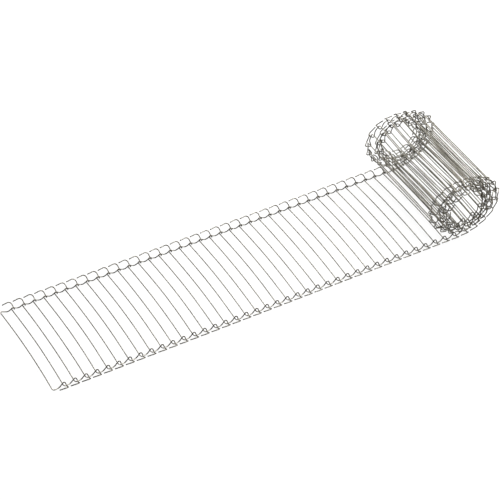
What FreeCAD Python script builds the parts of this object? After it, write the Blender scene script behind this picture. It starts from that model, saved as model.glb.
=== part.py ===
import FreeCAD, Part
import math
import os

from FreeCAD import Placement, Rotation, Vector

# Driving dimensions of the belt, in millimetres, with what each one sets
DIMENSIONS = {
    "wire_diameter": (2.34, "round spring wire of every link"),
    "pitch": (25.4, "from one cross rod to the next along the belt"),
    "rod_length": (266.0, "cross rod between the middles of its two corners"),
    "rod_bow": (3.8, "cross rod's middle, along the belt from its two corners"),
    "rod_straight": (20.0, "straight run of the bowed cross rod at each end"),
    "running_gap": (0.2, "play of a hook around the next link's wire"),
    "corner_radius": (4.2, "bend from the cross rod into the leg"),
    "dip_reach": (16.5, "leg's dip, along the belt from its own cross rod"),
    "dip_inset": (5.2, "leg's dip, inwards from the corner"),
    "dip_depth": (3.6, "leg's dip, below the cross rod"),
    "dip_radius": (9.0, "bend at the leg's dip"),
    "crest_reach": (4.6, "top of the hook, past the next cross rod"),
    "crest_inset": (8.2, "top of the hook, inwards from the corner"),
    "crest_radius": (3.3, "bend at the top of the hook"),
    "saddle_reach": (7.4, "bottom of the hook, past the next cross rod"),
    "saddle_radius": (3.2, "bend at the bottom of the hook"),
    "saddle_play": (0.8, "play between the bottom of the hook and the next link's leg"),
    "tail_reach": (5.2, "bend into the tail, past the next cross rod"),
    "tail_offset": (12.2, "bend into the tail, outwards from the corner"),
    "tail_rise": (7.0, "bend into the tail, above the cross rod"),
    "tail_radius": (8.0, "bend into the tail"),
    "tail_length": (20.4, "free tail, back along the belt"),
    "tail_closing": (2.2, "free end of the tail, inwards from its bend"),
    "tail_droop": (1.4, "free end of the tail, below its bend"),
    "roll_reach": (108.0, "half width of the roll's spiral where it leaves the floor"),
    "roll_height": (163.8, "height of the roll's spiral where it leaves the floor"),
    "layer_gap": (0.5, "play between one turn of the roll and the next"),
    "outer_slack": (26.5, "how much narrower the inner turns lie in the loose outer turn"),
    "core_shift": (20.0, "inner turns, along the belt from the middle of the outer turn"),
}

# Numbers of links, from the free end on the floor to the middle of the roll
FLAT_LINKS = 39
TURN_LINKS = 20
CORE_LINKS = 24

# Turns of the roll between which the slack of its outer turn is taken up
SLACK_START = 0.375
SLACK_END = 1.0


def make_sheet(document):
    """Spreadsheet with one named cell for each driving dimension."""
    sheet = document.addObject("Spreadsheet::Sheet", "Sizes")
    for row, (name, (value, use)) in enumerate(DIMENSIONS.items(), start=1):
        sheet.set(f"A{row}", name)
        sheet.set(f"B{row}", str(value))
        sheet.set(f"C{row}", use)
        sheet.setAlias(f"B{row}", name)
    document.recompute()
    return sheet


def bent_wire(points, radii):
    """Centre line of straight runs through the points, with a round bend at each inner one."""
    edges = []
    run_start = points[0]
    for before, corner, after, radius in zip(points, points[1:], points[2:], radii):
        back = (before - corner).normalize()
        ahead = (after - corner).normalize()
        half_angle = back.getAngle(ahead) / 2
        trim = radius / math.tan(half_angle)
        bend_start = corner + back * trim
        bend_end = corner + ahead * trim
        bend_middle = corner + (back + ahead).normalize() * (radius / math.sin(half_angle) - radius)
        edges.append(Part.makeLine(run_start, bend_start))
        edges.append(Part.Arc(bend_start, bend_middle, bend_end).toShape())
        run_start = bend_end
    edges.append(Part.makeLine(run_start, points[-1]))
    return Part.Wire(edges)


def rod_lean(sizes):
    """Slope of the bowed cross rod's straight ends, along the belt for each length of rod."""
    return 2 * sizes.rod_bow / (sizes.rod_length / 2 + sizes.rod_straight)


def crest_point(sizes, dip):
    """Top of the hook, where the leg passes over the next cross rod with the running gap."""
    clearance = sizes.wire_diameter + sizes.running_gap
    to_rod = Vector(sizes.pitch, 0, 0) - Vector(dip.x, 0, dip.z)
    slope = math.atan2(to_rod.z, to_rod.x) + math.asin(clearance / to_rod.Length)
    crest_x = sizes.pitch + sizes.crest_reach
    return Vector(crest_x, -sizes.crest_inset, dip.z + (crest_x - dip.x) * math.tan(slope))


def saddle_point(sizes, corner, dip, crest, tail_bend):
    """Bottom of the hook, whose bend stays below the next link's leg by the saddle's play."""
    along_leg = (sizes.saddle_reach - corner.x) / (dip.x - corner.x)
    carried_leg = Vector(sizes.pitch, 0, 0) + corner + (dip - corner) * along_leg
    bend_bottom = carried_leg - Vector(0, 0, sizes.wire_diameter + sizes.saddle_play)
    saddle = bend_bottom
    for _ in range(8):
        to_crest = (crest - saddle).normalize()
        to_tail = (tail_bend - saddle).normalize()
        half_angle = to_crest.getAngle(to_tail) / 2
        rounding = sizes.saddle_radius / math.sin(half_angle) - sizes.saddle_radius
        saddle = bend_bottom - (to_crest + to_tail).normalize() * rounding
    return saddle


def hook_points(sizes):
    """Bend points of one end of a link: x along the belt, y outwards from the corner, z up."""
    corner = Vector(-rod_lean(sizes) * sizes.crest_inset, 0, 0)
    dip = Vector(sizes.dip_reach, -sizes.dip_inset, -sizes.dip_depth)
    tail_bend = Vector(sizes.pitch + sizes.tail_reach, sizes.tail_offset, sizes.tail_rise)
    tail_end = tail_bend - Vector(sizes.tail_length, sizes.tail_closing, sizes.tail_droop)
    crest = crest_point(sizes, dip)
    saddle = saddle_point(sizes, corner, dip, crest, tail_bend)
    return [corner, dip, crest, saddle, tail_bend, tail_end]


def link_path(sizes):
    """Centre line of one link, from one tail over the bowed cross rod to the other tail."""
    half_rod = sizes.rod_length / 2
    far_end = [point + Vector(0, half_rod, 0) for point in hook_points(sizes)]
    near_end = [Vector(point.x, -point.y, point.z) for point in reversed(far_end)]
    rod_middle = Vector(rod_lean(sizes) * (half_rod - sizes.crest_inset), 0, 0)
    rod_radius = (half_rod - sizes.rod_straight) / rod_lean(sizes)
    bends = [sizes.corner_radius, sizes.dip_radius, sizes.crest_radius]
    bends += [sizes.saddle_radius, sizes.tail_radius]
    return bent_wire(near_end + [rod_middle] + far_end, bends[::-1] + [rod_radius] + bends)


def spiral_point(sizes, layer, turns):
    """Point of the oval spiral of the roll, from where it leaves the floor after the flat run."""
    taken_up = min(max((turns - SLACK_START) / (SLACK_END - SLACK_START), 0), 1)
    eased = taken_up ** 2 * (3 - 2 * taken_up)
    half_width = sizes.roll_reach - layer * turns - sizes.outer_slack * eased
    half_height = sizes.roll_height / 2 - layer * turns
    swing = 2 * math.pi * turns
    along = sizes.core_shift * eased + half_width * math.sin(swing)
    return Vector(along, 0, sizes.roll_height / 2 - half_height * math.cos(swing))


def rod_points(sizes, floor_height, link_height):
    """Cross rods one pitch apart along the flat run and then along the spiral of the roll."""
    layer = link_height + sizes.layer_gap
    rods = [Vector(number * sizes.pitch, 0, floor_height) for number in range(FLAT_LINKS + 1)]
    spiral_start = rods[-1]
    turns = 0.0
    for _ in range(TURN_LINKS + CORE_LINKS):
        low, high = turns, turns + 0.25
        for _ in range(40):
            turns = (low + high) / 2
            rod = spiral_start + spiral_point(sizes, layer, turns)
            if (rod - rods[-1]).Length < sizes.pitch:
                low = turns
            else:
                high = turns
        rods.append(rod)
    return rods


def link_placements(rods):
    """Places of all the links, each from its own cross rod towards the next one."""
    placements = []
    for rod, next_rod in zip(rods, rods[1:]):
        heading = math.degrees(math.atan2(next_rod.z - rod.z, next_rod.x - rod.x))
        placements.append(Placement(rod, Rotation(Vector(0, -1, 0), heading)))
    return placements


def make_section(document, path):
    """Round section of the wire, square to the path at its first end."""
    section = document.addObject("Part::Circle", "wire_section")
    section.setExpression("Radius", "Sizes.wire_diameter / 2")
    first_run = path.Edges[0]
    start = first_run.Vertexes[0].Point
    section.Placement = Placement(start, Rotation(Vector(0, 0, 1), first_run.tangentAt(0)))
    return section


def make_link(document, label, spine, section, placement):
    """One bent-wire link, swept along the path and put in its place."""
    link = document.addObject("Part::Sweep", label)
    link.Label = label
    link.Spine = (spine, [f"Edge{number + 1}" for number in range(len(spine.Shape.Edges))])
    link.Sections = [section]
    link.Solid = True
    link.Placement = placement
    return link


def check(objects):
    """Stops the build if an object failed or has no sound shape."""
    for item in objects:
        if "Invalid" in item.State or "Error" in item.State:
            raise RuntimeError(f"{item.Label} failed to build")
        if item.Shape.isNull() or not item.Shape.isValid():
            raise RuntimeError(f"{item.Label} has no valid shape")


def build():
    document = FreeCAD.newDocument("WireBelt")
    sizes = make_sheet(document)

    # One path and one section serve every link
    spine = document.addObject("Part::Feature", "wire_path")
    spine.Shape = link_path(sizes)
    section = make_section(document, spine.Shape)
    radius = sizes.wire_diameter / 2
    extent = spine.Shape.BoundBox
    floor_height = radius - extent.ZMin
    link_height = extent.ZLength + sizes.wire_diameter

    rods = rod_points(sizes, floor_height, link_height)
    links = []
    for number, placement in enumerate(link_placements(rods), start=1):
        links.append(make_link(document, f"link_{number:02d}", spine, section, placement))
    document.recompute()

    # The origin goes to the middle of the belt's length, on the floor
    reach = Part.makeCompound([link.Shape for link in links]).optimalBoundingBox(False)
    middle = Vector((reach.XMin + reach.XMax) / 2, 0, 0)
    for link in links:
        link.Placement.Base = link.Placement.Base - middle

    # The tightly wound middle of the roll is one group of separate links
    core = document.addObject("Part::Compound", "core_links")
    core.Links = links[FLAT_LINKS + TURN_LINKS:]
    document.recompute()

    nodes = links[:FLAT_LINKS + TURN_LINKS] + [core]
    check([spine, section] + links + nodes)
    os.makedirs("parts", exist_ok=True)
    for node in nodes:
        node.Shape.exportStep(f"parts/{node.Label}.step")


build()
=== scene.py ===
import math

import bpy
import numpy as np
from bpy.props import FloatProperty, FloatVectorProperty, IntProperty, PointerProperty
from bpy.types import Operator, Panel, PropertyGroup
from mathutils import Matrix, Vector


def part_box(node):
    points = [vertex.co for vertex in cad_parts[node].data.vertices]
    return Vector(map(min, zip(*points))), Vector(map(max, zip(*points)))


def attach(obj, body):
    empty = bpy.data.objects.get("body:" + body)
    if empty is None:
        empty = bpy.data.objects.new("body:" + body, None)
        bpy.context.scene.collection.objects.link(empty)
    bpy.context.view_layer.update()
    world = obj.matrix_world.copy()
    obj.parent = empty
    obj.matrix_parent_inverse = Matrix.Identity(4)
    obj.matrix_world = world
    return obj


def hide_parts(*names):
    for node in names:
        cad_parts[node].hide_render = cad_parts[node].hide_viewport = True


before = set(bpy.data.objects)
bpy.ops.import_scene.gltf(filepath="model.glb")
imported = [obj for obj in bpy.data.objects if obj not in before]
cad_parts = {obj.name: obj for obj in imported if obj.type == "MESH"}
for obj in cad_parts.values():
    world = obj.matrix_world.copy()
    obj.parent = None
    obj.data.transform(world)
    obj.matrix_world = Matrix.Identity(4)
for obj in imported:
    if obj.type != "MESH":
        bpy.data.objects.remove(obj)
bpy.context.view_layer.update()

bl_info = {
    "name": "Wire conveyor belt",
    "version": (1, 0, 0),
    "blender": (4, 5, 0),
    "location": "View3D > Sidebar > Belt",
    "description": "Drawn-wire links of a partly rolled conveyor belt, on a white studio floor",
    "category": "Object",
}

# Grid of a link: points round the wire, steps along each bend, and stations on each straight run
SIDES = 16
BEND_STEPS = 9
RUN_STEPS = (3, 2, 2, 2, 3, 3, 3, 3, 2, 2, 2, 3)

# Turns of the roll between which its outer turn's slack is taken up, and over which the core widens
SLACK_START = 0.375
SLACK_END = 1.0
CORE_EASE = 0.28

# Searches: rounds that settle the saddle, more of a turn than one link spans, and halvings of it
SADDLE_ROUNDS = 8
LINK_SPAN = 0.25
HALVINGS = 40

# Where the next hook rubs a rod, as a share of the crest's inset, and how far in wire diameters
RUB_PLACE = 0.55
RUB_REACH = 2.2

# Metres by which the wire's patterns move on from one link to the next
PATTERN_SHIFT = 0.7

# Noise values at which a die line and a dulled patch of the bends, which is partly painted shade, start
# and are full
LINE_RANGE = (0.4, 0.66)
DULL_RANGE = (0.2, 0.6)

# How much of the die lines' depth shows in the shading
RIDGE_STRENGTH = 0.5

# Roughness that the pickled skin, the bends, the cut ends and the rubbed places add to the plain wire's
SKIN_ROUGHNESS = (-0.1, 0.12)
BEND_ROUGHNESS = 0.1
CUT_ROUGHNESS = 0.2
RUB_ROUGHNESS = -0.1

# A direction's product with an edge of the white backdrop is its height above that edge, and the white
# has faded to grey where the height reaches the fade
BACK_EDGE = (0.0, -0.35, 1.0)
RIGHT_EDGE = (-1.0, -0.5, 1.0)
EDGE_FADE = 0.3

# Place and side of each softbox in metres, and its power in watts
SOFTBOXES = {
    "softbox_back": ((1.0, 1.3, 1.9), 1.2, 32.0),
    "softbox_right": ((4.8, 0.6, 3.5), 2.0, 150.0),
    "softbox_front": ((2.4, -3.0, 4.6), 2.0, 110.0),
}


def linear(hex_colour):
    """Linear colour of an sRGB hex value such as "#a0a0a0"."""
    coded = np.array([int(hex_colour[place:place + 2], 16) / 255 for place in (1, 3, 5)])
    return tuple(np.where(coded <= 0.04045, coded / 12.92, ((coded + 0.055) / 1.055) ** 2.4))


def length(name, description, millimetres):
    """A length property whose default is given in millimetres."""
    return FloatProperty(
        name=name,
        description=description,
        default=millimetres / 1000,
        precision=5,
        subtype="DISTANCE",
        unit="LENGTH",
    )


def colour(name, description, hex_colour):
    """A colour property whose default is given as an sRGB hex value."""
    return FloatVectorProperty(
        name=name,
        description=description,
        default=linear(hex_colour),
        size=3,
        min=0,
        max=1,
        subtype="COLOR",
    )


def share(name, description, default):
    """A property between nothing and all."""
    return FloatProperty(
        name=name,
        description=description,
        default=default,
        min=0,
        max=1,
        subtype="FACTOR",
    )


def angle(name, description, degrees):
    """An angle property whose default is given in degrees."""
    return FloatProperty(
        name=name,
        description=description,
        default=math.radians(degrees),
        subtype="ANGLE",
    )


def count(name, description, default):
    """A property for a number of links."""
    return IntProperty(name=name, description=description, default=default, min=1)


class BeltSizes(PropertyGroup):
    """Sizes of the wire links and of the roll."""

    wire_diameter: length("Wire diameter", "Round drawn wire of every link", 2.34)
    pitch: length("Pitch", "From one cross rod to the next along the belt", 25.4)
    rod_length: length("Rod length", "Cross rod between the middles of its two corners", 266.0)
    rod_bow: length("Rod bow", "Cross rod's middle, along the belt from its two corners", 3.8)
    rod_straight: length("Rod straight", "Straight run of the bowed cross rod at each end", 20.0)
    running_gap: length("Running gap", "Play of a hook around the next link's wire", 0.2)
    corner_radius: length("Corner radius", "Bend from the cross rod into the leg", 4.2)
    dip_reach: length("Dip reach", "Leg's dip, along the belt from its own cross rod", 16.5)
    dip_inset: length("Dip inset", "Leg's dip, inwards from the corner", 5.2)
    dip_depth: length("Dip depth", "Leg's dip, below the cross rod", 3.6)
    dip_radius: length("Dip radius", "Bend at the leg's dip", 9.0)
    crest_reach: length("Crest reach", "Top of the hook, past the next cross rod", 4.6)
    crest_inset: length("Crest inset", "Top of the hook, inwards from the corner", 8.2)
    crest_radius: length("Crest radius", "Bend at the top of the hook", 3.3)
    saddle_reach: length("Saddle reach", "Bottom of the hook, past the next cross rod", 7.4)
    saddle_radius: length("Saddle radius", "Bend at the bottom of the hook", 3.2)
    saddle_play: length("Saddle play", "Play between the hook's bottom and the next link's leg", 0.8)
    tail_reach: length("Tail reach", "Bend into the tail, past the next cross rod", 5.2)
    tail_offset: length("Tail offset", "Bend into the tail, outwards from the corner", 12.2)
    tail_rise: length("Tail rise", "Bend into the tail, above the cross rod", 7.0)
    tail_radius: length("Tail radius", "Bend into the tail", 8.0)
    tail_length: length("Tail length", "Free tail, back along the belt", 20.4)
    tail_closing: length("Tail closing", "Free end of the tail, inwards from its bend", 2.2)
    tail_droop: length("Tail droop", "Free end of the tail, below its bend", 1.4)
    roll_reach: length("Roll reach", "Half width of the roll where it leaves the floor", 108.0)
    roll_height: length("Roll height", "Height of the roll where it leaves the floor", 163.8)
    layer_gap: length("Layer gap", "Play between one turn of the roll and the next", 0.5)
    outer_slack: length("Outer slack", "How much narrower the inner turns lie in the outer one", 26.5)
    core_shift: length("Core shift", "Inner turns, along the belt from the outer turn's middle", 20.0)
    core_layer: length("Core layer", "From one turn of the wound core to the next, nested", 9.8)
    core_widening: length("Core widening", "Slack that the wound core takes back at each side", 4.0)
    cut_chamfer: length("Cut chamfer", "Edge that the cutter leaves round a wire end", 0.25)
    rod_waver: length("Rod waver", "Most that one cross rod strays from the others' bow", 0.5)
    flat_links: count("Flat links", "Links lying on the floor", 39)
    turn_links: count("Turn links", "Links in the outer turn", 20)
    core_links: count("Core links", "Links in the inner turns", 35)


class BeltFinish(PropertyGroup):
    """Finish of the wire."""

    steel: colour("Steel", "Drawn stainless wire", "#99968c")
    drawn_line: colour("Drawn line", "Fine lines left by the drawing die", "#6b6860")
    # Dark brown of the bends: tool-dulled wire, and painted shade where the hooks' wires cross and
    # shadow each other
    worked_bend: colour("Worked bend", "Wire that the bending tools dulled", "#40341f")
    burnished: colour("Burnished", "Wire that the next link has rubbed bright", "#b4b0a8")
    roughness: share("Roughness", "Roughness of the plain wire", 0.27)
    line_spacing: length("Line spacing", "From one die line to the next, round the wire", 0.3)
    line_length: length("Line length", "Die lines, along the wire", 30.0)
    line_depth: length("Line depth", "Die lines, into the wire", 0.04)
    cloud_width: length("Cloud width", "Cloudy tone of the pickled skin, round the wire", 3.3)
    cloud_length: length("Cloud length", "Cloudy tone of the pickled skin, along the wire", 40.0)


class BeltStage(PropertyGroup):
    """Floor, light and camera."""

    floor: colour("Floor", "White paper sweep", "#f2f2f0")
    floor_reach: length("Floor reach", "Paper, from its middle to each edge", 20000.0)
    floor_share: share("Floor share", "How much of the lamps' light the paper gives back", 0.22)
    glow: share("Glow", "Light of its own that the paper shows the camera", 0.9)
    wire_glow: share("Wire glow", "How much of that light the wire reflects", 0.25)
    ceiling: colour("Ceiling", "Grey room above the backdrop", "#242424")
    focal_length: FloatProperty(
        name="Focal length",
        description="Camera lens in millimetres",
        default=147.53,
        unit="CAMERA",
    )
    azimuth: angle("Azimuth", "Camera round the belt", -30.134)
    elevation: angle("Elevation", "Camera above the floor", 42.447)
    tilt: angle("Tilt", "Camera about its own line of sight", 1.03)
    camera_place: FloatVectorProperty(
        name="Camera place",
        description="Where the camera stands",
        default=(-1.6653, -2.8504, 3.0700),
        size=3,
        subtype="TRANSLATION",
        unit="LENGTH",
    )


def unit(vectors):
    """Each vector divided by its own length."""
    return vectors / np.linalg.norm(vectors, axis=-1, keepdims=True)


def turned(vectors, axes, angles):
    """Vectors turned about axes: what lies along the axis stays, the rest swings by cosine and sine."""
    angles = np.asarray(angles)[..., None]
    along = axes * np.sum(axes * vectors, axis=-1, keepdims=True)
    return along + (vectors - along) * np.cos(angles) + np.cross(axes, vectors) * np.sin(angles)


def rod_lean(sizes):
    """Slope of the rod's straight ends: twice the bow over the half rod and one straight end."""
    return 2 * sizes.rod_bow / (sizes.rod_length / 2 + sizes.rod_straight)


def hook_points(sizes):
    """Bend points of one end of a link: x along the belt, y outwards from the corner, z up.

    The crest lies on the line from the dip that passes one wire and one running gap above the next
    rod. The saddle's bend passes one wire and its own play below the next link's leg.
    """
    corner = np.array([-rod_lean(sizes) * sizes.crest_inset, 0, 0])
    dip = np.array([sizes.dip_reach, -sizes.dip_inset, -sizes.dip_depth])
    tail_bend = np.array([sizes.pitch + sizes.tail_reach, sizes.tail_offset, sizes.tail_rise])
    tail_end = tail_bend - np.array([sizes.tail_length, sizes.tail_closing, sizes.tail_droop])
    clearance = sizes.wire_diameter + sizes.running_gap
    to_rod = np.array([sizes.pitch - dip[0], -dip[2]])
    slope = math.atan2(to_rod[1], to_rod[0]) + math.asin(clearance / np.linalg.norm(to_rod))
    crest_x = sizes.pitch + sizes.crest_reach
    crest = np.array([crest_x, -sizes.crest_inset, dip[2] + (crest_x - dip[0]) * math.tan(slope)])
    along_leg = (sizes.saddle_reach - corner[0]) / (dip[0] - corner[0])
    carried_leg = np.array([sizes.pitch, 0, 0]) + corner + (dip - corner) * along_leg
    bend_bottom = carried_leg - np.array([0, 0, sizes.wire_diameter + sizes.saddle_play])
    saddle = bend_bottom
    for _ in range(SADDLE_ROUNDS):
        to_crest = unit(crest - saddle)
        to_tail = unit(tail_bend - saddle)
        half_angle = math.acos(to_crest @ to_tail) / 2
        rounding = sizes.saddle_radius / math.sin(half_angle) - sizes.saddle_radius
        saddle = bend_bottom - unit(to_crest + to_tail) * rounding
    return np.array([corner, dip, crest, saddle, tail_bend, tail_end])


def bend_points(sizes):
    """Points of a link's centre line from tail to tail, and the bend radius at each inner point.

    The near end mirrors the far one. The bowed rod is one wide bend at the point where the lines of its
    straight ends meet.
    """
    half_rod = sizes.rod_length / 2
    lean = rod_lean(sizes)
    far_end = hook_points(sizes) + np.array([0, half_rod, 0])
    rod_middle = np.array([[lean * (half_rod - sizes.crest_inset), 0, 0]])
    points = np.concatenate([far_end[::-1] * np.array([1, -1, 1]), rod_middle, far_end])
    bends = [
        sizes.corner_radius,
        sizes.dip_radius,
        sizes.crest_radius,
        sizes.saddle_radius,
        sizes.tail_radius,
    ]
    rod_radius = (half_rod - sizes.rod_straight) / lean
    return points, np.array(bends[::-1] + [rod_radius] + bends)


def wire_line(sizes):
    """Stations along one link's centre line: place, heading, side, and how far into a bend each is.

    The line is straight runs joined by arcs. On an arc, the place swings about the arc's centre, and
    the heading and the side swing with it, so that the wire's section is carried without a twist.
    """
    points, radii = bend_points(sizes)
    radii = radii[:, None]
    corners = points[1:-1]
    back = unit(points[:-2] - corners)
    ahead = unit(points[2:] - corners)
    half_angles = np.arccos(np.sum(back * ahead, axis=1)) / 2
    turns = math.pi - 2 * half_angles
    axes = unit(np.cross(ahead, back))
    trims = radii / np.tan(half_angles)[:, None]
    starts = corners + back * trims
    ends = corners + ahead * trims
    centres = corners + unit(back + ahead) * radii / np.sin(half_angles)[:, None]

    sides = [unit(np.cross(back[0], [0, 0, 1]))]
    for axis, turn in zip(axes, turns):
        sides.append(turned(sides[-1], axis, turn))
    sides = np.array(sides)

    swing = turns[:, None] * np.linspace(0, 1, BEND_STEPS + 1)
    arc_places = centres[:, None] + turned((starts - centres)[:, None], axes[:, None], swing)
    arc_headings = turned(-back[:, None], axes[:, None], swing)
    arc_sides = turned(sides[:-1, None], axes[:, None], swing)
    arc_bends = np.sin(np.linspace(0, math.pi, BEND_STEPS + 1))

    run_starts = np.concatenate([points[:1], ends])
    run_ends = np.concatenate([starts, points[-1:]])
    run_headings = unit(run_ends - run_starts)
    chamfer = sizes.cut_chamfer
    places = [points[:1], points[:1] + run_headings[:1] * chamfer]
    headings = [run_headings[:1], run_headings[:1]]
    carried = [sides[:1], sides[:1]]
    worked = [np.zeros(2)]
    for number, steps in enumerate(RUN_STEPS):
        shares = np.linspace(0, 1, steps + 2)[1:-1, None]
        places.append(run_starts[number] + (run_ends[number] - run_starts[number]) * shares)
        headings.append(np.repeat(run_headings[number:number + 1], steps, axis=0))
        carried.append(np.repeat(sides[number:number + 1], steps, axis=0))
        worked.append(np.zeros(steps))
        if number < len(turns):
            places.append(arc_places[number])
            headings.append(arc_headings[number])
            carried.append(arc_sides[number])
            # How far into a bend: this also sets where painted shade darkens the bends
            worked.append(arc_bends * min(1, turns[number]))
    places += [points[-1:] - run_headings[-1:] * chamfer, points[-1:]]
    headings += [run_headings[-1:], run_headings[-1:]]
    carried += [sides[-1:], sides[-1:]]
    worked.append(np.zeros(2))
    return [np.concatenate(stations) for stations in (places, headings, carried, worked)]


def eased(part):
    """Smooth step from 0 to 1: three times the square less twice the cube."""
    part = min(max(part, 0), 1)
    return part ** 2 * (3 - 2 * part)


def spiral_point(sizes, turns, shrunk, widened):
    """Point of the roll's oval spiral, from where it leaves the floor.

    Both half sizes are less by what the turns so far have shrunk. The half width also loses the outer
    turn's slack, by a smooth step, and gains what the core has widened.
    """
    slack = eased((turns - SLACK_START) / (SLACK_END - SLACK_START))
    half_width = sizes.roll_reach - shrunk - sizes.outer_slack * slack + widened
    half_height = sizes.roll_height / 2 - shrunk
    swing = 2 * math.pi * turns
    along = sizes.core_shift * slack + half_width * math.sin(swing)
    return np.array([along, 0, sizes.roll_height / 2 - half_height * math.cos(swing)])


def rod_places(sizes):
    """Cross rods one pitch apart along the flat run, and then along the spiral of the roll.

    The outer turn lies a whole link's height outside the next one. The turns of the wound core nest
    into each other, hooks between hooks. Each rod is found by halving the stretch of the spiral that
    holds the point one pitch from the last rod.
    """
    heights = wire_line(sizes)[0][:, 2]
    floor_height = sizes.wire_diameter / 2 - heights.min()
    layer = heights.max() - heights.min() + sizes.wire_diameter + sizes.layer_gap
    flat_places = np.arange(sizes.flat_links + 1) * sizes.pitch
    rods = [np.array([place, 0, floor_height]) for place in flat_places]
    spiral_start = rods[-1]
    turns = 0.0
    core_start = math.inf
    for number in range(sizes.turn_links + sizes.core_links):
        if number == sizes.turn_links:
            core_start = turns
        low, high = turns, turns + LINK_SPAN
        for _ in range(HALVINGS):
            turns = (low + high) / 2
            wound = max(turns - core_start, 0)
            shrunk = layer * (turns - wound) + sizes.core_layer * wound
            widened = sizes.core_widening * eased(wound / CORE_EASE)
            rod = spiral_start + spiral_point(sizes, turns, shrunk, widened)
            if np.linalg.norm(rod - rods[-1]) < sizes.pitch:
                low = turns
            else:
                high = turns
        rods.append(rod)
    return np.array(rods)


def wire_marks(sizes, places, worked):
    """How far each station is bent, rubbed by the next hook, and cut.

    The rub falls off as a bell curve, exp of minus the square of the distance over its reach, along the
    rod from where the next hook rides.
    """
    hook_seat = sizes.rod_length / 2 - sizes.crest_inset * RUB_PLACE
    off_seat = np.abs(np.abs(places[:, 1]) - hook_seat)
    rubbed = np.exp(-(off_seat / (RUB_REACH * sizes.wire_diameter)) ** 2)
    rubbed = rubbed * (np.abs(places[:, 0]) < sizes.wire_diameter)
    cut = np.zeros(len(places))
    cut[[0, -1]] = 1
    return np.stack([worked, rubbed, cut], axis=1)


def link_surface(sizes, rod, next_rod, number):
    """Points of one link's wire, the same wire pulled straight, and the marks on it.

    A circle is carried along the centre line, on the side and its cross direction, and made smaller at
    the cut ends. The rod's middle strays by a smooth hump, differently on each link. The whole is then
    turned about the rod to head for the next rod.
    """
    places, headings, sides, worked = wire_line(sizes)
    radius = np.full(len(places), sizes.wire_diameter / 2)
    radius[[0, -1]] -= sizes.cut_chamfer
    waver = np.random.default_rng(number).uniform(-1, 1, 2) * sizes.rod_waver
    bowed_half = sizes.rod_length / 2 - sizes.rod_straight
    hump = np.clip(1 - (places[:, 1] / bowed_half) ** 2, 0, 1) ** 2
    places = places + hump[:, None] * np.array([waver[0], 0, waver[1]])

    around = np.linspace(0, 2 * math.pi, SIDES, endpoint=False)[:, None]
    across = np.cross(headings, sides)
    outwards = np.cos(around) * sides[:, None] + np.sin(around) * across[:, None]
    rings = places[:, None] + radius[:, None, None] * outwards

    steps = np.linalg.norm(np.diff(places, axis=0), axis=1)
    along = np.concatenate([[0], np.cumsum(steps)]) + number * PATTERN_SHIFT
    straight = np.stack([
        np.repeat(along[:, None], SIDES, axis=1),
        radius[:, None] * np.cos(around.T),
        radius[:, None] * np.sin(around.T),
    ], axis=-1)

    heading = math.atan2(next_rod[2] - rod[2], next_rod[0] - rod[0])
    turn = np.array(Matrix.Rotation(-heading, 3, "Y"))
    points = np.concatenate([rings.reshape(-1, 3), places[[0, -1]]]) @ turn.T + rod
    cap_straight = np.array([[along[0], 0, 0], [along[-1], 0, 0]])
    straight = np.concatenate([straight.reshape(-1, 3), cap_straight])
    marks = wire_marks(sizes, places, worked)
    marks = np.concatenate([np.repeat(marks, SIDES, axis=0), marks[[0, -1]]])
    return points, straight, marks


def wire_faces(stations):
    """Quads from each ring to the next, closed round the wire, and a fan of triangles at each end."""
    ring = np.arange(SIDES)
    after = (ring + 1) % SIDES
    row = np.arange(stations - 1)[:, None] * SIDES
    quads = np.stack([row + ring, row + after, row + SIDES + after, row + SIDES + ring], axis=-1)
    first_cap = stations * SIDES
    last_row = (stations - 1) * SIDES
    first_fan = np.stack([np.full(SIDES, first_cap), after, ring], axis=-1)
    last_fan = np.stack([np.full(SIDES, first_cap + 1), last_row + ring, last_row + after], axis=-1)
    return quads.reshape(-1, 4), np.concatenate([first_fan, last_fan])


def links_object(name, sizes, rods, numbers):
    """One mesh object with the given links, numbered along the belt."""
    surfaces = [
        link_surface(sizes, rods[number], rods[number + 1], number) for number in numbers
    ]
    per_link = len(surfaces[0][0])
    quads, fans = wire_faces((per_link - 2) // SIDES)
    offsets = np.arange(len(surfaces)) * per_link
    all_quads = (quads[None] + offsets[:, None, None]).reshape(-1, 4)
    all_fans = (fans[None] + offsets[:, None, None]).reshape(-1, 3)
    points, straight, marks = (np.concatenate(arrays) for arrays in zip(*surfaces))

    mesh = bpy.data.meshes.new(name)
    mesh.from_pydata(points, [], all_quads.tolist() + all_fans.tolist())
    for attribute, vectors in (("pulled_straight", straight), ("wire_marks", marks)):
        layer = mesh.attributes.new(attribute, "FLOAT_VECTOR", "POINT")
        layer.data.foreach_set("vector", vectors.ravel())
    smooth = np.concatenate([np.ones(len(all_quads), bool), np.zeros(len(all_fans), bool)])
    mesh.polygons.foreach_set("use_smooth", smooth)
    mesh.update()
    links = bpy.data.objects.new(name, mesh)
    bpy.context.scene.collection.objects.link(links)
    return links


def add_node(tree, kind, settings=None, **sockets):
    """Adds a node, sets its own settings, and fills its input sockets with values or links.

    A socket goes by its name, or by its number after the letter i where names repeat.
    """
    node = tree.nodes.new(kind)
    for key, value in (settings or {}).items():
        setattr(node, key, value)
    for key, value in sockets.items():
        place = int(key[1:]) if key[1:].isdigit() else key.replace("_", " ")
        socket = node.inputs[place]
        if isinstance(value, bpy.types.NodeSocket):
            tree.links.new(value, socket)
        else:
            socket.default_value = value
    return node


def empty_tree(owner):
    """Node tree of a material or a world, with nothing in it yet."""
    owner.use_nodes = True
    owner.node_tree.nodes.clear()
    return owner.node_tree


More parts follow.
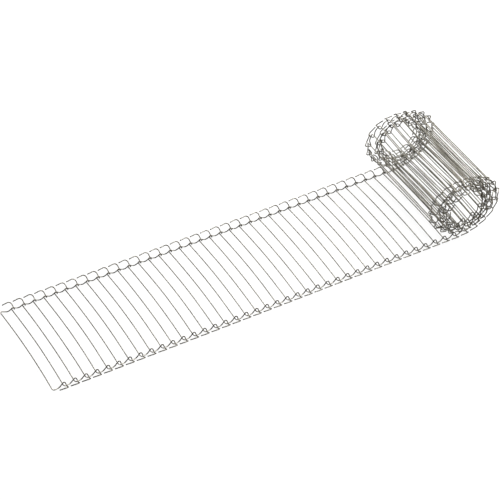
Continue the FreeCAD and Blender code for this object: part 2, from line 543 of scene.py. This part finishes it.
def drawn_stainless_wire(finish):
    """Stainless spring wire, drawn through a die and bent cold.

    To the eye it is a bright grey metal with a faint warm cast. Fine lines run along the wire. Bends are
    brown and duller where the tools gripped it, and their dark brown is also painted shade where the
    hooks' wires cross. Each rod is rubbed bright where the next hook rides.
    """
    name = "drawn_stainless_wire"
    if name in bpy.data.materials:
        return bpy.data.materials[name]
    material = bpy.data.materials.new(name)
    tree = empty_tree(material)
    straight = add_node(
        tree, "ShaderNodeAttribute", {"attribute_name": "pulled_straight"}
    ).outputs["Vector"]
    marks = add_node(
        tree, "ShaderNodeAttribute", {"attribute_name": "wire_marks"}
    ).outputs["Vector"]
    worked, rubbed, cut = add_node(tree, "ShaderNodeSeparateXYZ", i0=marks).outputs

    # The die lines are drawn coarser than real, so that they show
    line_sizes = (finish.line_length, finish.line_spacing, finish.line_spacing)
    line_place = add_node(
        tree, "ShaderNodeVectorMath", {"operation": "DIVIDE"}, i0=straight, i1=line_sizes
    ).outputs[0]
    lines = add_node(
        tree, "ShaderNodeTexNoise", None, Vector=line_place, Scale=1.0, Detail=3.0
    ).outputs["Fac"]
    cloud_sizes = (finish.cloud_length, finish.cloud_width, finish.cloud_width)
    cloud_place = add_node(
        tree, "ShaderNodeVectorMath", {"operation": "DIVIDE"}, i0=straight, i1=cloud_sizes
    ).outputs[0]
    cloud = add_node(
        tree, "ShaderNodeTexNoise", None, Vector=cloud_place, Scale=1.0, Detail=2.0
    ).outputs["Fac"]

    # Tone: steel with darker lines, then the dulled bends darkened further by painted shade, then the
    # rubbed places
    line_share = add_node(
        tree, "ShaderNodeMapRange", None,
        Value=lines, From_Min=LINE_RANGE[0], From_Max=LINE_RANGE[1],
    ).outputs[0]
    skin = add_node(
        tree, "ShaderNodeMix", {"data_type": "RGBA"},
        i0=line_share, i6=(*finish.steel, 1), i7=(*finish.drawn_line, 1),
    ).outputs[2]
    cloud_share = add_node(
        tree, "ShaderNodeMapRange", None,
        Value=cloud, From_Min=DULL_RANGE[0], From_Max=DULL_RANGE[1],
    ).outputs[0]
    # Share of the bends' dark brown: tool-dulled wire, and painted shade where the hooks' wires cross
    dull_share = add_node(
        tree, "ShaderNodeMath", {"operation": "MULTIPLY"}, i0=worked, i1=cloud_share
    ).outputs[0]
    bent = add_node(
        tree, "ShaderNodeMix", {"data_type": "RGBA"},
        i0=dull_share, i6=skin, i7=(*finish.worked_bend, 1),
    ).outputs[2]
    tone = add_node(
        tree, "ShaderNodeMix", {"data_type": "RGBA"},
        i0=rubbed, i6=bent, i7=(*finish.burnished, 1),
    ).outputs[2]

    # Roughness: the skin's own, and what each kind of mark adds to it
    roughness = add_node(
        tree, "ShaderNodeMapRange", None, Value=cloud,
        To_Min=finish.roughness + SKIN_ROUGHNESS[0], To_Max=finish.roughness + SKIN_ROUGHNESS[1],
    ).outputs[0]
    for mark, added in ((worked, BEND_ROUGHNESS), (cut, CUT_ROUGHNESS), (rubbed, RUB_ROUGHNESS)):
        roughness = add_node(
            tree, "ShaderNodeMath", {"operation": "MULTIPLY_ADD"}, i0=mark, i1=added, i2=roughness
        ).outputs[0]

    ridges = add_node(
        tree, "ShaderNodeBump", None,
        Strength=RIDGE_STRENGTH, Distance=finish.line_depth, Height=lines,
    ).outputs[0]
    shader = add_node(
        tree, "ShaderNodeBsdfPrincipled", None,
        Base_Color=tone, Metallic=1.0, Roughness=roughness, Normal=ridges,
    )
    add_node(tree, "ShaderNodeOutputMaterial", None, Surface=shader.outputs[0])
    return material


def white_paper_sweep(stage):
    """White matt paper, which takes the belt's soft shadow.

    To the eye it is plain white. A glow of its own makes it so, which the camera sees in full and the
    wire only in part.
    """
    material = bpy.data.materials.new("white_paper_sweep")
    tree = empty_tree(material)
    given_back = [stage.floor_share * value for value in stage.floor]
    paper = add_node(tree, "ShaderNodeBsdfDiffuse", None, Color=(*given_back, 1))
    path = add_node(tree, "ShaderNodeLightPath").outputs
    seen = add_node(
        tree, "ShaderNodeMath", {"operation": "MULTIPLY_ADD"},
        i0=path["Is Glossy Ray"], i1=stage.wire_glow, i2=path["Is Camera Ray"],
    ).outputs[0]
    glow = add_node(
        tree, "ShaderNodeMath", {"operation": "MULTIPLY"}, i0=seen, i1=stage.glow
    ).outputs[0]
    white = add_node(tree, "ShaderNodeEmission", None, Color=(1, 1, 1, 1), Strength=glow)
    both = add_node(tree, "ShaderNodeAddShader", None, i0=paper.outputs[0], i1=white.outputs[0])
    add_node(tree, "ShaderNodeOutputMaterial", None, Surface=both.outputs[0])
    return material


def dress(links, body, node, scene):
    """Gives a links object its finish and its body, and hides the CAD node that it stands for."""
    links.data.materials.append(drawn_stainless_wire(scene.belt_finish))
    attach(links, body)
    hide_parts(node)


def belt_rods(sizes):
    """Cross rods with the middle of the belt's length at the origin, as the CAD model has it."""
    low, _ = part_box("link_01")
    first_rod = low.x + sizes.wire_diameter / 2 - wire_line(sizes)[0][:, 0].min()
    return rod_places(sizes) + np.array([first_rod, 0, 0])


def single_links(scene, numbers):
    """Builds links that each stand for a CAD node and ride on a body of their own."""
    sizes = scene.belt_sizes
    rods = belt_rods(sizes)
    for number in numbers:
        node = f"link_{number + 1:02d}"
        dress(links_object(f"wire_{node}", sizes, rods, [number]), node, node, scene)


def paper_floor(scene):
    """Square of white paper, level with the underside of the belt."""
    stage = scene.belt_stage
    corners = np.array([[-1, -1, 0], [1, -1, 0], [1, 1, 0], [-1, 1, 0]]) * stage.floor_reach
    mesh = bpy.data.meshes.new("paper_floor")
    mesh.from_pydata(corners, [], [(0, 1, 2, 3)])
    mesh.materials.append(white_paper_sweep(stage))
    floor = bpy.data.objects.new("paper_floor", mesh)
    scene.collection.objects.link(floor)


def studio_room(scene):
    """White backdrop behind the belt and to its right, in a grey room.

    A direction's height above the backdrop is the lesser of its products with the two edges. White
    fades to grey over it by a smooth step.
    """
    world = bpy.data.worlds.new("studio_room")
    scene.world = world
    tree = empty_tree(world)
    direction = add_node(tree, "ShaderNodeTexCoord").outputs["Generated"]
    above_back, above_right = (
        add_node(
            tree, "ShaderNodeVectorMath", {"operation": "DOT_PRODUCT"}, i0=direction, i1=edge
        ).outputs["Value"]
        for edge in (BACK_EDGE, RIGHT_EDGE)
    )
    above_both = add_node(
        tree, "ShaderNodeMath", {"operation": "MINIMUM"}, i0=above_back, i1=above_right
    ).outputs[0]
    grey_share = add_node(
        tree, "ShaderNodeMapRange", {"interpolation_type": "SMOOTHSTEP"},
        Value=above_both, From_Min=0.0, From_Max=EDGE_FADE,
    ).outputs[0]
    room = add_node(
        tree, "ShaderNodeMix", {"data_type": "RGBA"},
        i0=grey_share, i6=(1, 1, 1, 1), i7=(*scene.belt_stage.ceiling, 1),
    ).outputs[2]
    light = add_node(tree, "ShaderNodeBackground", None, Color=room, Strength=1.0)
    add_node(tree, "ShaderNodeOutputWorld", None, Surface=light.outputs[0])


def softboxes(scene):
    """Square soft lamps, each turned to the middle of the belt."""
    for name, (place, side, power) in SOFTBOXES.items():
        lamp = bpy.data.lights.new(name, "AREA")
        lamp.shape = "SQUARE"
        lamp.size = side
        lamp.energy = power
        softbox = bpy.data.objects.new(name, lamp)
        softbox.location = place
        softbox.rotation_euler = (-softbox.location).to_track_quat("-Z", "Y").to_euler()
        scene.collection.objects.link(softbox)


def camera_stand(scene):
    """Camera at its place, looking along its azimuth and elevation and tilted about that line."""
    stage = scene.belt_stage
    back = np.array([
        math.sin(stage.azimuth) * math.cos(stage.elevation),
        -math.cos(stage.azimuth) * math.cos(stage.elevation),
        math.sin(stage.elevation),
    ])
    level_right = unit(np.cross(-back, [0, 0, 1]))
    level_up = np.cross(level_right, -back)
    right = math.cos(stage.tilt) * level_right + math.sin(stage.tilt) * level_up
    up = math.cos(stage.tilt) * level_up - math.sin(stage.tilt) * level_right
    lens = bpy.data.cameras.new("camera")
    lens.lens = stage.focal_length
    camera = bpy.data.objects.new("camera", lens)
    turn = Matrix(np.stack([right, up, back], axis=1).tolist()).to_4x4()
    camera.matrix_world = Matrix.Translation(stage.camera_place) @ turn
    scene.collection.objects.link(camera)
    scene.camera = camera


class BELT_OT_flat_links(Operator):
    """Builds the links that lie flat on the floor"""

    bl_idname = "belt.flat_links"
    bl_label = "Flat links"

    def execute(self, context):
        sizes = context.scene.belt_sizes
        single_links(context.scene, range(sizes.flat_links))
        return {"FINISHED"}


class BELT_OT_turn_links(Operator):
    """Builds the links of the loose outer turn of the roll"""

    bl_idname = "belt.turn_links"
    bl_label = "Outer turn"

    def execute(self, context):
        sizes = context.scene.belt_sizes
        first = sizes.flat_links
        single_links(context.scene, range(first, first + sizes.turn_links))
        return {"FINISHED"}


class BELT_OT_core_links(Operator):
    """Builds the wound links in the middle of the roll"""

    bl_idname = "belt.core_links"
    bl_label = "Wound core"

    def execute(self, context):
        sizes = context.scene.belt_sizes
        first = sizes.flat_links + sizes.turn_links
        numbers = range(first, first + sizes.core_links)
        links = links_object("wire_core_links", sizes, belt_rods(sizes), numbers)
        dress(links, "roll_core", "core_links", context.scene)
        return {"FINISHED"}


class BELT_OT_stage(Operator):
    """Builds the white floor, the soft studio light and the camera"""

    bl_idname = "belt.stage"
    bl_label = "Stage"

    def execute(self, context):
        context.scene.view_settings.view_transform = "Standard"
        paper_floor(context.scene)
        studio_room(context.scene)
        softboxes(context.scene)
        camera_stand(context.scene)
        return {"FINISHED"}


class BELT_PT_sidebar(Panel):
    """Lists the belt's pieces and settings in the sidebar"""

    bl_idname = "BELT_PT_sidebar"
    bl_label = "Wire belt"
    bl_space_type = "VIEW_3D"
    bl_region_type = "UI"
    bl_category = "Belt"

    def draw(self, context):
        operators = (BELT_OT_flat_links, BELT_OT_turn_links, BELT_OT_core_links, BELT_OT_stage)
        for operator in operators:
            self.layout.operator(operator.bl_idname)
        scene = context.scene
        for settings in (scene.belt_sizes, scene.belt_finish, scene.belt_stage):
            box = self.layout.box()
            for name in settings.__annotations__:
                box.prop(settings, name)


CLASSES = (
    BeltSizes,
    BeltFinish,
    BeltStage,
    BELT_OT_flat_links,
    BELT_OT_turn_links,
    BELT_OT_core_links,
    BELT_OT_stage,
    BELT_PT_sidebar,
)


def register():
    for cls in CLASSES:
        bpy.utils.register_class(cls)
    bpy.types.Scene.belt_sizes = PointerProperty(type=BeltSizes)
    bpy.types.Scene.belt_finish = PointerProperty(type=BeltFinish)
    bpy.types.Scene.belt_stage = PointerProperty(type=BeltStage)


def unregister():
    del bpy.types.Scene.belt_stage
    del bpy.types.Scene.belt_finish
    del bpy.types.Scene.belt_sizes
    for cls in reversed(CLASSES):
        bpy.utils.unregister_class(cls)


def main():
    """Builds the links and the stage."""
    register()
    bpy.ops.belt.flat_links()
    bpy.ops.belt.turn_links()
    bpy.ops.belt.core_links()
    bpy.ops.belt.stage()


if __name__ == "__main__":
    main()
